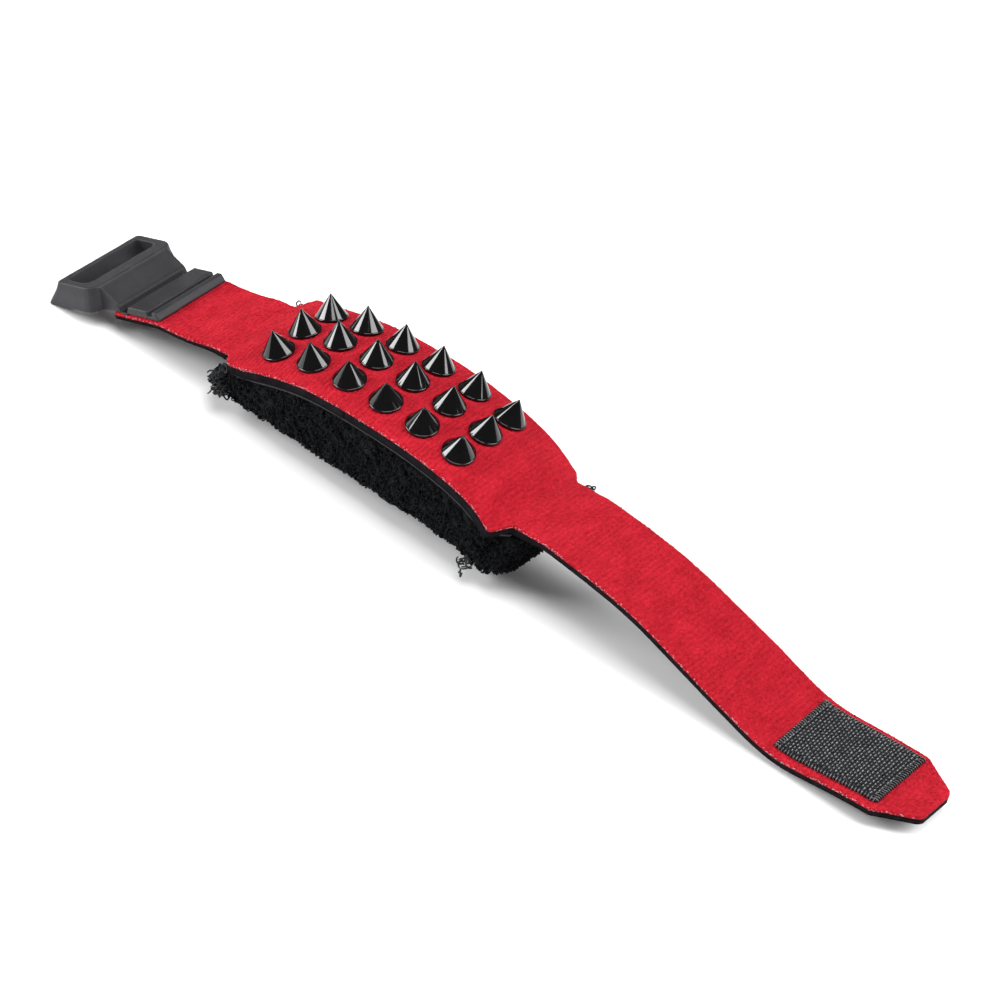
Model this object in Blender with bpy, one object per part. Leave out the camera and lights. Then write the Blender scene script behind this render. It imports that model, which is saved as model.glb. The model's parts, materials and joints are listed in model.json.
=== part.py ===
"""Studded wrist strap: padded centre with cone studs, slot buckle, hook-patch tail.

Metres, +Z up. The strap lies along X with its looped outer face up, the buckle at -X and
the tapered tail at +X. A cross-section is placed by its station, the distance along the
outer face from a point in the studded centre. Depth is measured down from that face.
"""
import math

import bmesh
import bpy
from mathutils import Vector

MM = 0.001
GAP = 0.3 * MM                     # clearance between touching pieces

# Strap laminate
STRAP_WIDTH = 25.0 * MM
CENTRE_WIDTH = 34.0 * MM
CENTRE_CROWN = 2.4 * MM            # how far the centre's long edges drop
FACE_THICK = 0.8 * MM
FOAM_THICK = 1.3 * MM
LINING_THICK = 0.5 * MM
FACE = (0.0, FACE_THICK)
FOAM = (FACE[1] + GAP, FACE[1] + GAP + FOAM_THICK)
LINING = (FOAM[1] + GAP, FOAM[1] + GAP + LINING_THICK)
LAMINATE = LINING[1]
MID_DEPTH = LAMINATE / 2.0         # depth of every fold line

# Stations along the strap
STRAP_START = -78.8 * MM
FOOT_END = -64.8 * MM              # where the buckle's foot stops
BUCKLE_FOLD = -49.0 * MM
TAIL_ROOT_FOLD = 53.5 * MM
TAIL_MID_FOLD = 80.0 * MM
TAIL_TIP_FOLD = 107.0 * MM
TAPER_START = 153.0 * MM
STRAP_TIP = 162.8 * MM
TIP_WIDTH = 12.6 * MM
TIP_ROUNDING = 1.2 * MM
SHOULDERS = ((-42.8 * MM, -37.8 * MM), (46.6 * MM, 50.0 * MM))
CROWN_FADES = ((-43.0 * MM, -33.0 * MM), (47.0 * MM, 60.0 * MM))

# How the strap lies: its slope and its twist in degrees, and how far its centre line strays
# in Y in millimetres, all at stations in millimetres
SLOPES = ((-80, 20.3), (-66, 20.3), (-62, 6), (-56, 12), (-42, 27.5), (-35, 22.5), (-21, 16.5),
          (-7, 6), (14, -0.5), (28, -7.5), (35, -13.5), (42, -26), (49, -13), (56, -2), (63, -6),
          (77, -9), (91, -19), (119, -19.5), (126, -10.5), (133, 6), (140, 7), (154, 1.7), (164, 1.7))
TWISTS = ((-80, 1.2), (-60, 1.5), (-42, 3.0), (-14, 0.3), (7, 0), (42, -3.7), (84, -1.5),
          (110, 1.2), (126, 0), (160, -5.0))
SWAYS = ((-80, 0.9), (-56, 0.95), (-42, 1.05), (-28, 0.9), (0, 0.2), (28, -0.65), (42, -0.95),
         (63, -0.95), (84, -0.7), (112, -0.15), (133, 0.15), (164, 0.1))
STATION_ZERO = Vector((-35.7 * MM, 0.0, 28.2 * MM))
STEP = 0.5 * MM                    # integration step along the strap

# Cone studs and their screws
STUD_ROWS = (("front", -9.6 * MM), ("middle", 0.0), ("back", 9.6 * MM))
STUD_COLUMNS = 6
FIRST_STUD = -27.6 * MM
STUD_PITCH = 11.2 * MM
STUD_RADIUS = 4.05 * MM
STUD_HEIGHT = 6.1 * MM
STUD_LIP = 0.6 * MM
STUD_TIP_RADIUS = 0.3 * MM
STUD_SIDES = 18
SCREW_RADIUS = 1.0 * MM
SCREW_HEAD_RADIUS = 2.8 * MM
SCREW_REACH = 2.4 * MM             # thread length inside the stud
SCREW_SIDES = 8

# Pile pad under the centre
PAD_START = -42.0 * MM
PAD_END = 50.0 * MM
PAD_HALF_WIDTH = 16.4 * MM
PAD_BULGE = 0.5 * MM
PAD_EDGE_RISE = 4.6 * MM           # its long lower edges are higher than its middle
PAD_BACKING = 0.5 * MM
PAD_WALL = 2.6 * MM
PAD_CORE_EASE = 2.0 * MM           # room between the wadding and its cover
# Height of the pad's lowest line and the lean of its lower end, at stations in millimetres
PAD_FLOOR = ((-42, 4.5), (-36, 3.2), (14, 3.2), (26, 1.8), (33, -0.4), (38, -1.3), (46, -1.3), (50, 1.0))
PAD_LEAN = ((-42, -1.0), (20, 0), (42, -6.0), (50, -8.0))

# Buckle, in its own frame: a runs towards the strap, h up from the ring's rim
RING = (0.3 * MM, 12.6 * MM)       # the rim's two ends, along a
RING_HALF_WIDTH = 14.5 * MM
RING_HEIGHT = 6.0 * MM
RING_FLARE = (2.5 * MM, 0.9 * MM, 0.9 * MM)     # outer end, strap end, sides
SLOT = (1.7 * MM, 8.9 * MM)
SLOT_HALF_WIDTH = 12.4 * MM
FOOT_LENGTH = 30.1 * MM
BUCKLE_STRAY = -0.5 * MM           # how far the moulding sits off the strap's middle
FOOT_HALF_WIDTH = 12.0 * MM
FOOT_BOTTOM = -6.2 * MM
FOOT_OUTLINE = ((9.6, -6.2), (9.6, -0.6), (12.3, -0.15), (17.9, -4.4), (18.6, -5.4), (20.4, -5.4),
                (21.2, -4.2), (26.2, -4.2), (26.4, -5.5), (27.5, -5.5), (27.9, -4.1), (29.3, -4.2),
                (30.1, -5.8), (30.1, -6.2))
SEAM_A = (26.65 * MM, 27.25 * MM)  # the thread's two sides, along a
SEAM_FLOOR = -5.5 * MM             # bottom of the groove
SEAM_THREAD = 0.45 * MM
SEAM_WAVE = 0.25 * MM
SEAM_INSET = 1.0 * MM
SEAM_STITCHES = 8

# Hook patch on the tail
PATCH = (126.4 * MM, 153.0 * MM)
PATCH_HALF_WIDTH = 10.3 * MM
PATCH_THICK = 1.0 * MM
STITCH_LENGTH = 1.6 * MM
STITCH_HEIGHT = 0.3 * MM
STITCH_OVERHANG = 0.3 * MM         # how far the stitches pass the patch's edge


def interpolate(table, station):
    """Value at a station, from a table of (millimetres, value)."""
    x = station / MM
    for (x0, v0), (x1, v1) in zip(table, table[1:]):
        if x <= x1:
            return v0 + (v1 - v0) * max(0.0, (x - x0) / (x1 - x0))
    return table[-1][1]


def smoothstep(low, high, x):
    t = min(1.0, max(0.0, (x - low) / (high - low)))
    return t * t * (3.0 - 2.0 * t)


def walk(station):
    """Centre line of the outer face at a station, by integrating the slope."""
    count = max(1, round(abs(station) / STEP))
    step = station / count
    point = STATION_ZERO + Vector((0.0, interpolate(SWAYS, station) * MM, 0.0))
    for i in range(count):
        angle = math.radians(interpolate(SLOPES, (i + 0.5) * step))
        point += Vector((math.cos(angle), 0.0, math.sin(angle))) * step
    return point


def strap_frame(station):
    """Point, tangent, across and normal directions at a station."""
    slope = math.radians(interpolate(SLOPES, station))
    twist = math.radians(interpolate(TWISTS, station))
    tangent = Vector((math.cos(slope), 0.0, math.sin(slope)))
    up = Vector((-math.sin(slope), 0.0, math.cos(slope)))
    flat = Vector((0.0, 1.0, 0.0))
    across = flat * math.cos(twist) + up * math.sin(twist)
    normal = up * math.cos(twist) - flat * math.sin(twist)
    return walk(station), tangent, across, normal


def half_width(station):
    """Half the strap's width: wide in the centre, tapered at the tip."""
    wide = smoothstep(*SHOULDERS[0], station) - smoothstep(*SHOULDERS[1], station)
    half = (STRAP_WIDTH + (CENTRE_WIDTH - STRAP_WIDTH) * wide) / 2.0
    taper = max(0.0, (station - TAPER_START) / (STRAP_TIP - TAPER_START))
    half -= (STRAP_WIDTH - TIP_WIDTH) / 2.0 * taper
    left = STRAP_TIP - station
    if left < TIP_ROUNDING:
        half -= TIP_ROUNDING - math.sqrt(max(0.0, TIP_ROUNDING ** 2 - (TIP_ROUNDING - left) ** 2))
    return half


def crown_at(station, y):
    """Drop of the face and its slope across, at y from the centre line."""
    fade = smoothstep(*CROWN_FADES[0], station) - smoothstep(*CROWN_FADES[1], station)
    k = CENTRE_CROWN * fade * 4.0 / CENTRE_WIDTH ** 2
    return k * y * y, 2.0 * k * y


def on_strap(station, y, depth):
    """Point at a station, y across and depth below the outer face."""
    point, _, across, normal = strap_frame(station)
    return point + across * y - normal * (crown_at(station, y)[0] + depth)


def material(name, colour, roughness, metallic=0.0):
    mat = bpy.data.materials.new(name)
    mat.use_nodes = True
    shader = mat.node_tree.nodes["Principled BSDF"]
    shader.inputs["Base Color"].default_value = (*colour, 1.0)
    shader.inputs["Roughness"].default_value = roughness
    shader.inputs["Metallic"].default_value = metallic
    return mat


def add_object(name, bm, mat, parent, smooth=False):
    """Close the bmesh into an object whose origin is its parent's."""
    bmesh.ops.recalc_face_normals(bm, faces=bm.faces[:])
    origin = parent["pivot"]
    bmesh.ops.translate(bm, vec=-Vector(origin), verts=bm.verts[:])
    mesh = bpy.data.meshes.new(name)
    bm.to_mesh(mesh)
    bm.free()
    mesh.materials.append(mat)
    if smooth:
        mesh.shade_smooth()
        mesh.set_sharp_from_angle(angle=math.radians(35.0))
    obj = bpy.data.objects.new(name, mesh)
    bpy.context.scene.collection.objects.link(obj)
    obj.parent = parent
    return obj


def add_pivot(name, parent, pivot):
    """Empty that stands on a fold line; its pieces are its children."""
    empty = bpy.data.objects.new(name, None)
    empty["pivot"] = tuple(pivot)
    bpy.context.scene.collection.objects.link(empty)
    if parent:
        empty.parent = parent
        empty.location = Vector(pivot) - Vector(parent["pivot"])
    return empty


def cap(bm, ring, columns):
    """Close a ring made of a top row, a side point or none, the bottom row and the same again."""
    side = (len(ring) - 2 * (columns + 1)) // 2
    top = ring[:columns + 1]
    bottom = ring[columns + 1 + side:2 * (columns + 1) + side][::-1]
    for j in range(columns):
        bm.faces.new((top[j], top[j + 1], bottom[j + 1], bottom[j]))
    if side:
        bm.faces.new((top[-1], ring[columns + 1], bottom[-1]))
        bm.faces.new((top[0], bottom[0], ring[-1]))


def loft(loops, columns=0):
    """Closed solid through loops of points, capped at both ends in strips or as one face.

    Each quad is split from its near corner of lower y to its far corner of higher y, so that
    the facing sides of two neighbouring layers have the same facets."""
    bm = bmesh.new()
    rings = [[bm.verts.new(point) for point in loop] for loop in loops]
    count = len(rings[0])
    for low, high in zip(rings, rings[1:]):
        for i in range(count):
            j = (i + 1) % count
            near, near_next, far_next, far = low[i], low[j], high[j], high[i]
            if near.co.y <= near_next.co.y:
                bm.faces.new((near, near_next, far_next))
                bm.faces.new((near, far_next, far))
            else:
                bm.faces.new((near, near_next, far))
                bm.faces.new((near_next, far_next, far))
    for ring in (rings[0], rings[-1]):
        if columns:
            cap(bm, ring, columns)
        else:
            bm.faces.new(ring)
    return bm


def cut(obj, cutter):
    cutter.hide_render = True
    cutter.display_type = "WIRE"
    boolean = obj.modifiers.new("cut_" + cutter.name, "BOOLEAN")
    boolean.operation = "DIFFERENCE"
    boolean.solver = "EXACT"
    boolean.object = cutter


def spaced(low, high, pitch):
    count = max(1, math.ceil((high - low) / pitch - 1e-6))
    return [low + (high - low) * i / count for i in range(count + 1)]


def slab(low, high, depths, folds=(False, False), width=half_width, pitch=4.0 * MM, columns=2):
    """Strip of one layer between two stations, its ends bevelled at 45 degrees about a fold.

    A fold at either end keeps the layer clear of the next segment when the strap is bent."""
    def end(station, sign, depth):
        return station + sign * (0.25 * MM + abs(depth - MID_DEPTH))
    loops = []
    stations = spaced(low, high, pitch)
    extra = [STRAP_TIP - 0.4 * MM, STRAP_TIP - TIP_ROUNDING] if abs(high - STRAP_TIP) < MM else []
    for bound in (*SHOULDERS[0], *SHOULDERS[1], TAPER_START):
        extra += [bound] if low + 3 * MM < bound < high - 3 * MM else []
    stations = sorted(s for s in stations if all(abs(s - e) > 0.9 * MM for e in extra))
    if abs(high - STRAP_TIP) < MM:
        stations.append(high)
    stations = sorted(set(stations + extra))
    for index, station in enumerate(stations):
        rows = []
        for depth in depths:
            s = station
            if index == 0 and folds[0]:
                s = end(low, 1.0, depth)
            if index == len(stations) - 1 and folds[1]:
                s = end(high, -1.0, depth)
            half = width(s)
            rows.append([on_strap(s, half * (2.0 * j / columns - 1.0), depth)
                         for j in range(columns + 1)])
        loops.append(rows[0] + rows[1][::-1])
    return loft(loops, columns)


def turned(profile, sides, place):
    """Solid of revolution from (radius, height) pairs, both ends on the axis."""
    bm = bmesh.new()
    rings = []
    for radius, height in profile:
        if radius == 0.0:
            rings.append([bm.verts.new(place(0.0, 0.0, height))])
            continue
        angles = [math.tau * i / sides for i in range(sides)]
        rings.append([bm.verts.new(place(radius * math.cos(a), radius * math.sin(a), height))
                      for a in angles])
    for low, high in zip(rings, rings[1:]):
        for i in range(sides):
            j = (i + 1) % sides
            corners = [low[i % len(low)], low[j % len(low)], high[j % len(high)], high[i % len(high)]]
            bm.faces.new(list(dict.fromkeys(corners)))
    return bm


def join(meshes):
    """One bmesh from several, for a cutter of many holes."""
    whole = bmesh.new()
    for bm in meshes:
        moved = {vert: whole.verts.new(vert.co) for vert in bm.verts}
        for face in bm.faces:
            whole.faces.new([moved[vert] for vert in face.verts])
        bm.free()
    return whole


def stud_places():
    """Name, station and y of every stud."""
    for row, y in STUD_ROWS:
        for column in range(STUD_COLUMNS):
            yield f"stud_{row}_{column + 1}", FIRST_STUD + column * STUD_PITCH, y


def stud_axes(station, y):
    """Function that places a point by its offsets in a stud's own frame."""
    _, tangent, across, normal = strap_frame(station)
    slope = math.atan(crown_at(station, y)[1])
    side = across * math.cos(slope) - normal * math.sin(slope)
    up = normal * math.cos(slope) + across * math.sin(slope)
    base = on_strap(station, y, 0.0)
    return lambda u, v, h: base + tangent * u + side * v + up * h


def make_layers(prefix, low, high, folds, parent, mats, columns=2, pitch=4.0 * MM):
    """The three laminated layers of one strap segment."""
    made = []
    for layer, depths in (("loop_face", FACE), ("foam", FOAM), ("lining", LINING)):
        bm = slab(low, high, depths, folds, columns=columns, pitch=pitch)
        made.append(add_object(f"{prefix}_{layer}", bm, mats[layer], parent))
    return made


def make_studs(parent, mats):
    profile = ((0.0, SCREW_REACH + 2 * GAP), (SCREW_RADIUS + GAP, SCREW_REACH + 2 * GAP),
               (SCREW_RADIUS + GAP, 0.0), (STUD_RADIUS - 0.15 * MM, 0.0), (STUD_RADIUS, STUD_LIP),
               (STUD_RADIUS - 0.3 * MM, STUD_LIP + 0.3 * MM),
               (STUD_TIP_RADIUS, STUD_HEIGHT - 0.2 * MM), (0.0, STUD_HEIGHT))
    for name, station, y in stud_places():
        place = stud_axes(station, y)
        bm = turned([(r, h + GAP) for r, h in profile], STUD_SIDES, place)
        add_object(name, bm, mats["stud"], parent, smooth=True)


def make_screws(parent, mats, layers):
    """Screws from below, and the holes that they pass through in each layer."""
    bottom, head_top = -LINING[1], -LINING[0]
    profile = ((0.0, bottom), (SCREW_HEAD_RADIUS, bottom), (SCREW_HEAD_RADIUS, head_top),
               (SCREW_RADIUS, head_top), (SCREW_RADIUS, SCREW_REACH), (0.0, SCREW_REACH))
    places = [stud_axes(station, y) for _, station, y in stud_places()]
    for (name, _, _), place in zip(stud_places(), places):
        add_object(name.replace("stud", "screw"), turned(profile, SCREW_SIDES, place), mats["screw"],
                   parent, smooth=True)
    for layer in layers:
        is_lining = layer.name.endswith("lining")
        radius = (SCREW_HEAD_RADIUS if is_lining else SCREW_RADIUS) + GAP
        span = (LINING if is_lining else (FACE[0], FOAM[1]))
        ends = (-span[1] - GAP / 2, -span[0] + (GAP / 2 if is_lining else 2 * GAP))
        hole = ((0.0, ends[0]), (radius, ends[0]), (radius, ends[1]), (0.0, ends[1]))
        cutters = join([turned(hole, SCREW_SIDES, place) for place in places])
        cut(layer, add_object(layer.name + "_holes", cutters, mats["screw"], parent))


def pad_solid(inset, top_depth, clip_at_floor, columns=6, pitch=4.6 * MM):
    """Pad body, inset on its sides, ends and bottom. Its inner stations are always the same."""
    loops = []
    ends = (PAD_START + inset, PAD_END - inset)
    inner = [s for s in spaced(PAD_START, PAD_END, pitch) if ends[0] + MM < s < ends[1] - MM]
    for station in (ends[0], *inner, ends[1]):
        half = PAD_HALF_WIDTH - inset
        width_here = min(half, half_width(station) - inset)
        top, bottom = [], []
        for j in range(columns + 1):
            across = 2.0 * j / columns - 1.0
            high = on_strap(station, width_here * across, top_depth)
            centre = interpolate(PAD_FLOOR, station) * MM
            z = centre + PAD_EDGE_RISE * across * across + inset
            z = max(z, 0.0) if clip_at_floor else z
            x, y, _ = walk(station)
            x += interpolate(PAD_LEAN, station) * MM
            top.append(high)
            bottom.append(Vector((x, y + (half - 0.8 * MM) * across, z)))
        middle_right = (top[-1] + bottom[-1]) / 2.0 + Vector((0.0, PAD_BULGE, 0.0))
        middle_left = (top[0] + bottom[0]) / 2.0 - Vector((0.0, PAD_BULGE, 0.0))
        loops.append(top + [middle_right] + bottom[::-1] + [middle_left])
    return loft(loops, columns)


def make_pad(parent, mats):
    backing_top = LAMINATE + GAP
    cover_top = backing_top + PAD_BACKING + GAP
    def pad_width(station):
        return min(PAD_HALF_WIDTH, half_width(station))
    backing = slab(PAD_START, PAD_END, (backing_top, backing_top + PAD_BACKING),
                   width=pad_width, columns=6, pitch=6.0 * MM)
    add_object("pad_backing", backing, mats["lining"], parent)
    cover = add_object("pad_pile_cover", pad_solid(0.0, cover_top, True), mats["pile"], parent)
    hollow = pad_solid(PAD_WALL, cover_top - GAP, False, columns=4)
    cut(cover, add_object("pad_hollow", hollow, mats["pile"], parent))
    core = pad_solid(PAD_WALL + PAD_CORE_EASE, cover_top + PAD_CORE_EASE, False, columns=4)
    add_object("pad_core", core, mats["foam"], parent)


def buckle_place():
    """Function that places a point by a, y and h in the buckle's own frame."""
    _, tangent, across, normal = strap_frame((STRAP_START + FOOT_END) / 2.0)
    origin = walk(FOOT_END) + normal * (GAP - FOOT_BOTTOM) - tangent * FOOT_LENGTH + across * BUCKLE_STRAY
    return lambda a, y, h: origin + tangent * a + across * y + normal * h


def rounded_outline(a0, a1, half, outer_radius, inner_radius, steps=4):
    """Rectangle with rounded corners, radii for the outer and the strap end."""
    points = []
    corners = ((a0, -half, 180, outer_radius), (a1, -half, 270, inner_radius),
               (a1, half, 0, inner_radius), (a0, half, 90, outer_radius))
    for a, y, start, radius in corners:
        ca = a + radius if a == a0 else a - radius
        cy = y + radius if y < 0 else y - radius
        for i in range(steps + 1):
            angle = math.radians(start + 90.0 * i / steps)
            points.append((ca + radius * math.cos(angle), cy + radius * math.sin(angle)))
    return points


def make_buckle(parent, mats):
    place = buckle_place()
    outer, inner, side = RING_FLARE
    rim = rounded_outline(RING[0], RING[1], RING_HALF_WIDTH, 1.0 * MM, 3.0 * MM)
    base = rounded_outline(RING[0] - outer, RING[1] + inner, RING_HALF_WIDTH + side, 1.2 * MM, 3.4 * MM)
    ring = loft([[place(a, y, -RING_HEIGHT) for a, y in base], [place(a, y, 0.0) for a, y in rim]])
    buckle = add_object("buckle", ring, mats["buckle"], parent)
    sides = [[place(a * MM, y, h * MM) for a, h in FOOT_OUTLINE]
             for y in (-FOOT_HALF_WIDTH, FOOT_HALF_WIDTH)]
    foot = add_object("buckle_foot", loft(sides), mats["buckle"], parent)
    foot.hide_render = True
    foot.display_type = "WIRE"
    union = buckle.modifiers.new("foot", "BOOLEAN")
    union.operation = "UNION"
    union.solver = "EXACT"
    union.object = foot
    slot = rounded_outline(SLOT[0], SLOT[1], SLOT_HALF_WIDTH, 1.4 * MM, 2.2 * MM)
    through = loft([[place(a, y, h) for a, y in slot] for h in (-RING_HEIGHT - MM, MM)])
    cut(buckle, add_object("buckle_slot", through, mats["buckle"], parent))
    make_seam_thread(parent, mats, place)


def make_seam_thread(parent, mats, place):
    """One thread along the foot's deep groove, dipping between its stitches."""
    reach = FOOT_HALF_WIDTH - SEAM_INSET
    count = 2 * SEAM_STITCHES
    loops = []
    for i in range(count + 1):
        y = reach * (2.0 * i / count - 1.0)
        low = SEAM_FLOOR + GAP + (SEAM_WAVE if i % 2 else 0.0)
        high = low + SEAM_THREAD
        loops.append([place(a, y, h) for a, h in ((SEAM_A[0], low), (SEAM_A[1], low),
                                                  (SEAM_A[1], high), (SEAM_A[0], high))])
    add_object("buckle_seam_thread", loft(loops), mats["thread"], parent)


def make_patch(parent, mats):
    """Hook patch on the tail, and the band of stitches over its four edges."""
    top = -GAP - PATCH_THICK
    bm = slab(*PATCH, (top, -GAP), width=lambda s: PATCH_HALF_WIDTH, columns=3)
    add_object("hook_patch", bm, mats["hook"], parent)
    high, low = top - GAP - STITCH_HEIGHT, top - GAP
    out = STITCH_OVERHANG
    band = slab(PATCH[0] - out, PATCH[1] + out, (high, low),
                width=lambda s: PATCH_HALF_WIDTH + out)
    band = add_object("patch_stitches", band, mats["thread"], parent)
    inner = STITCH_LENGTH - out
    window = slab(PATCH[0] + inner, PATCH[1] - inner, (high - GAP, low + GAP / 2),
                  width=lambda s: PATCH_HALF_WIDTH - inner)
    cut(band, add_object("patch_window", window, mats["thread"], parent))


def centre_on_origin(root):
    """Move the whole strap so that its bounding box is centred on the origin in X and Y."""
    bpy.context.view_layer.update()
    corners = [obj.matrix_world @ vert.co for obj in bpy.context.scene.objects
               if obj.type == "MESH" and not obj.hide_render for vert in obj.data.vertices]
    for axis in (0, 1):
        values = [corner[axis] for corner in corners]
        root.location[axis] -= (min(values) + max(values)) / 2.0
    root.location[2] -= min(corner[2] for corner in corners)
    bpy.context.view_layer.update()


def main():
    for obj in list(bpy.data.objects):
        bpy.data.objects.remove(obj, do_unlink=True)
    mats = {
        "loop_face": material("red_loop_fabric", (0.62, 0.018, 0.03), 0.9),
        "foam": material("black_foam", (0.03, 0.028, 0.032), 0.85),
        "lining": material("black_jersey", (0.02, 0.02, 0.022), 0.9),
        "pile": material("black_terry_pile", (0.008, 0.008, 0.01), 0.95),
        "stud": material("black_gloss_stud", (0.01, 0.01, 0.012), 0.12),
        "screw": material("steel_screw", (0.5, 0.5, 0.52), 0.35, 1.0),
        "buckle": material("charcoal_plastic", (0.06, 0.06, 0.065), 0.5),
        "hook": material("black_hook_tape", (0.02, 0.02, 0.022), 0.55),
        "thread": material("black_thread", (0.03, 0.03, 0.032), 0.6),
    }
    root = add_pivot("padded_centre", None, (0.0, 0.0, 0.0))
    pivots = {name: on_strap(station, 0.0, MID_DEPTH) for name, station in
              (("buckle_fold", BUCKLE_FOLD), ("tail_root_fold", TAIL_ROOT_FOLD),
               ("tail_mid_fold", TAIL_MID_FOLD), ("tail_tip_fold", TAIL_TIP_FOLD))}
    buckle_end = add_pivot("buckle_fold", root, pivots["buckle_fold"])
    tail_root = add_pivot("tail_root_fold", root, pivots["tail_root_fold"])
    tail_mid = add_pivot("tail_mid_fold", tail_root, pivots["tail_mid_fold"])
    tail_tip = add_pivot("tail_tip_fold", tail_mid, pivots["tail_tip_fold"])

    centre = make_layers("centre", BUCKLE_FOLD, TAIL_ROOT_FOLD, (True, True), root, mats, columns=6)
    make_studs(root, mats)
    make_screws(root, mats, centre)
    make_pad(root, mats)
    make_layers("buckle_end", STRAP_START, BUCKLE_FOLD, (False, True), buckle_end, mats)
    make_buckle(buckle_end, mats)
    make_layers("tail_root", TAIL_ROOT_FOLD, TAIL_MID_FOLD, (True, True), tail_root, mats)
    make_layers("tail_mid", TAIL_MID_FOLD, TAIL_TIP_FOLD, (True, True), tail_mid, mats)
    make_layers("tail_tip", TAIL_TIP_FOLD, STRAP_TIP, (True, False), tail_tip, mats)
    make_patch(tail_tip, mats)
    centre_on_origin(root)


main()
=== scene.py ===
"""Studded wrist strap: the looks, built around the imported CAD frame.

A cross-section of the strap is placed by its station, the distance in millimetres along
the red face from a point in the studded centre, as in the CAD. Depth is measured down
from that face. The strap's course, crown and shoulders are the CAD's, tied to the frame by
its joints. Lengths are in millimetres, but for the camera's and the stage's.
"""
import json
import math

import bmesh
import bpy
import numpy as np
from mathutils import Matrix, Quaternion, Vector

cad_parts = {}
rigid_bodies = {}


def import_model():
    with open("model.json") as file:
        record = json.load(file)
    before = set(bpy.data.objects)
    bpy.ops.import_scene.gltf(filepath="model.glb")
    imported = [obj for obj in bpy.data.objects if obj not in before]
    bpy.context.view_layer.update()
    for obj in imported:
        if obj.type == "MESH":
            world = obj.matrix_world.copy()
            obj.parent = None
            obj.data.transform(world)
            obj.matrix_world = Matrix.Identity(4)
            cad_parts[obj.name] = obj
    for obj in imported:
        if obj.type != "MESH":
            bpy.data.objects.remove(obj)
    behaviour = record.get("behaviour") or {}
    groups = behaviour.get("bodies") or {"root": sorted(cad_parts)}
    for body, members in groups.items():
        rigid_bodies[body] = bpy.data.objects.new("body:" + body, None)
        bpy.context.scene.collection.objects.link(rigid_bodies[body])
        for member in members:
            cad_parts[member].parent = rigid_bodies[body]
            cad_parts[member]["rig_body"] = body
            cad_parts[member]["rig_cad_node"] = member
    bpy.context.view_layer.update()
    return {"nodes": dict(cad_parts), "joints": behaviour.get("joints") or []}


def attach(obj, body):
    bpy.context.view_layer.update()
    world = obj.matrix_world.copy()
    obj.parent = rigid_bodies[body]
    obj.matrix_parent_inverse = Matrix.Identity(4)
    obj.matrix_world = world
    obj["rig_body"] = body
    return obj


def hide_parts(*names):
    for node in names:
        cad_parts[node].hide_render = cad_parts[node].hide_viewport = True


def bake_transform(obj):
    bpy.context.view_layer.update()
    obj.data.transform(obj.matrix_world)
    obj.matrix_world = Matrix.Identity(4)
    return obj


MM = 0.001
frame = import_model()

# Strap laminate: widths, and the depths of each layer's top and bottom
STRAP_WIDTH = 25.0
CENTRE_WIDTH = 34.0
CENTRE_CROWN = 2.4
FACE = (0.0, 0.85)
FOAM = (0.85, 2.72)
LINING = (2.74, 3.2)
MID_DEPTH = 1.6
FOAM_KEPT = (0.42, 0.62)           # share of the foam's thickness left at the buckle and in the tail
FOAM_FADES = ((-52.0, -38.0), (46.0, 58.0))               # where the foam gets its full thickness

# Stations
STRAP_START = -78.8
STRAP_TIP = 162.8
TAPER_START = 153.0
TIP_WIDTH = 12.6
TIP_ROUNDING = 1.3
TIP_ANGLES = (10, 30, 50, 70, 82, 90)                     # sections round the tip's corners
SHOULDERS = ((-42.8, -37.8), (46.6, 50.0))
CROWN_FADES = ((-43.0, -33.0), (47.0, 60.0))
FOLDS = {"buckle_fold": -49.0, "tail_root_fold": 53.5, "tail_mid_fold": 80.0, "tail_tip_fold": 107.0}

# How the strap lies: slope and twist in degrees, and sideways stray, at stations
SLOPES = ((-80, 20.3), (-66, 20.3), (-62, 6), (-56, 12), (-42, 27.5), (-35, 22.5), (-21, 16.5),
          (-7, 6), (14, -0.5), (28, -7.5), (35, -13.5), (42, -26), (49, -13), (56, -2), (63, -6),
          (77, -9), (91, -19), (119, -19.5), (126, -10.5), (133, 6), (140, 7), (154, 1.7), (164, 1.7))
TWISTS = ((-80, 1.2), (-60, 1.5), (-42, 3.0), (-14, 0.3), (7, 0), (42, -3.7), (84, -1.5),
          (110, 1.2), (126, 0), (160, -5.0))
SWAYS = ((-80, 0.9), (-56, 0.95), (-42, 1.05), (-28, 0.9), (0, 0.2), (28, -0.65), (42, -0.95),
         (63, -0.95), (84, -0.7), (112, -0.15), (133, 0.15), (164, 0.1))
CREASES = ((47.0, 1.1, 2.8), (-42.0, 1.4, 3.5))           # station, depth, spread
COURSE_STEP = 0.1

# Pieces of each layer: the bodies at its two ends, stations, blend stretch and CAD segments shown
STRETCHES = (("buckle", "buckle_end", "centre", (STRAP_START, 0.0), (-60.0, -43.5),
              ("buckle_end", "centre")),
             ("root", "centre", "tail_root", (0.0, 66.75), (50.0, 62.0), ("tail_root",)),
             ("middle", "tail_root", "tail_mid", (66.75, 93.5), (70.0, 90.0), ("tail_mid",)),
             ("tip", "tail_mid", "tail_tip", (93.5, STRAP_TIP), (97.0, 117.0), ("tail_tip",)))

# Layers: depths, inset and rounding of its edges, points across its top, and step along the strap
CAD_LAYER = {"face": "loop_face", "foam": "foam", "lining": "lining"}
LAYER_SHAPE = {"face": (FACE, 0.0, 0.45, 71, 0.25),
               "foam": (FOAM, 0.1, 0.12, 15, 1.0),
               "lining": (LINING, 0.15, 0.12, 15, 1.0)}
UNDER_COUNT = 15                   # points across a layer's underside
RIB_PITCH = 1.25
RELIEF = (0.045, 0.05, 0.10)       # heights of the red face's ribs, fuzz and dents
RELIEF_DEPTH = 0.5                 # how far down the face's edge the relief reaches

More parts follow.
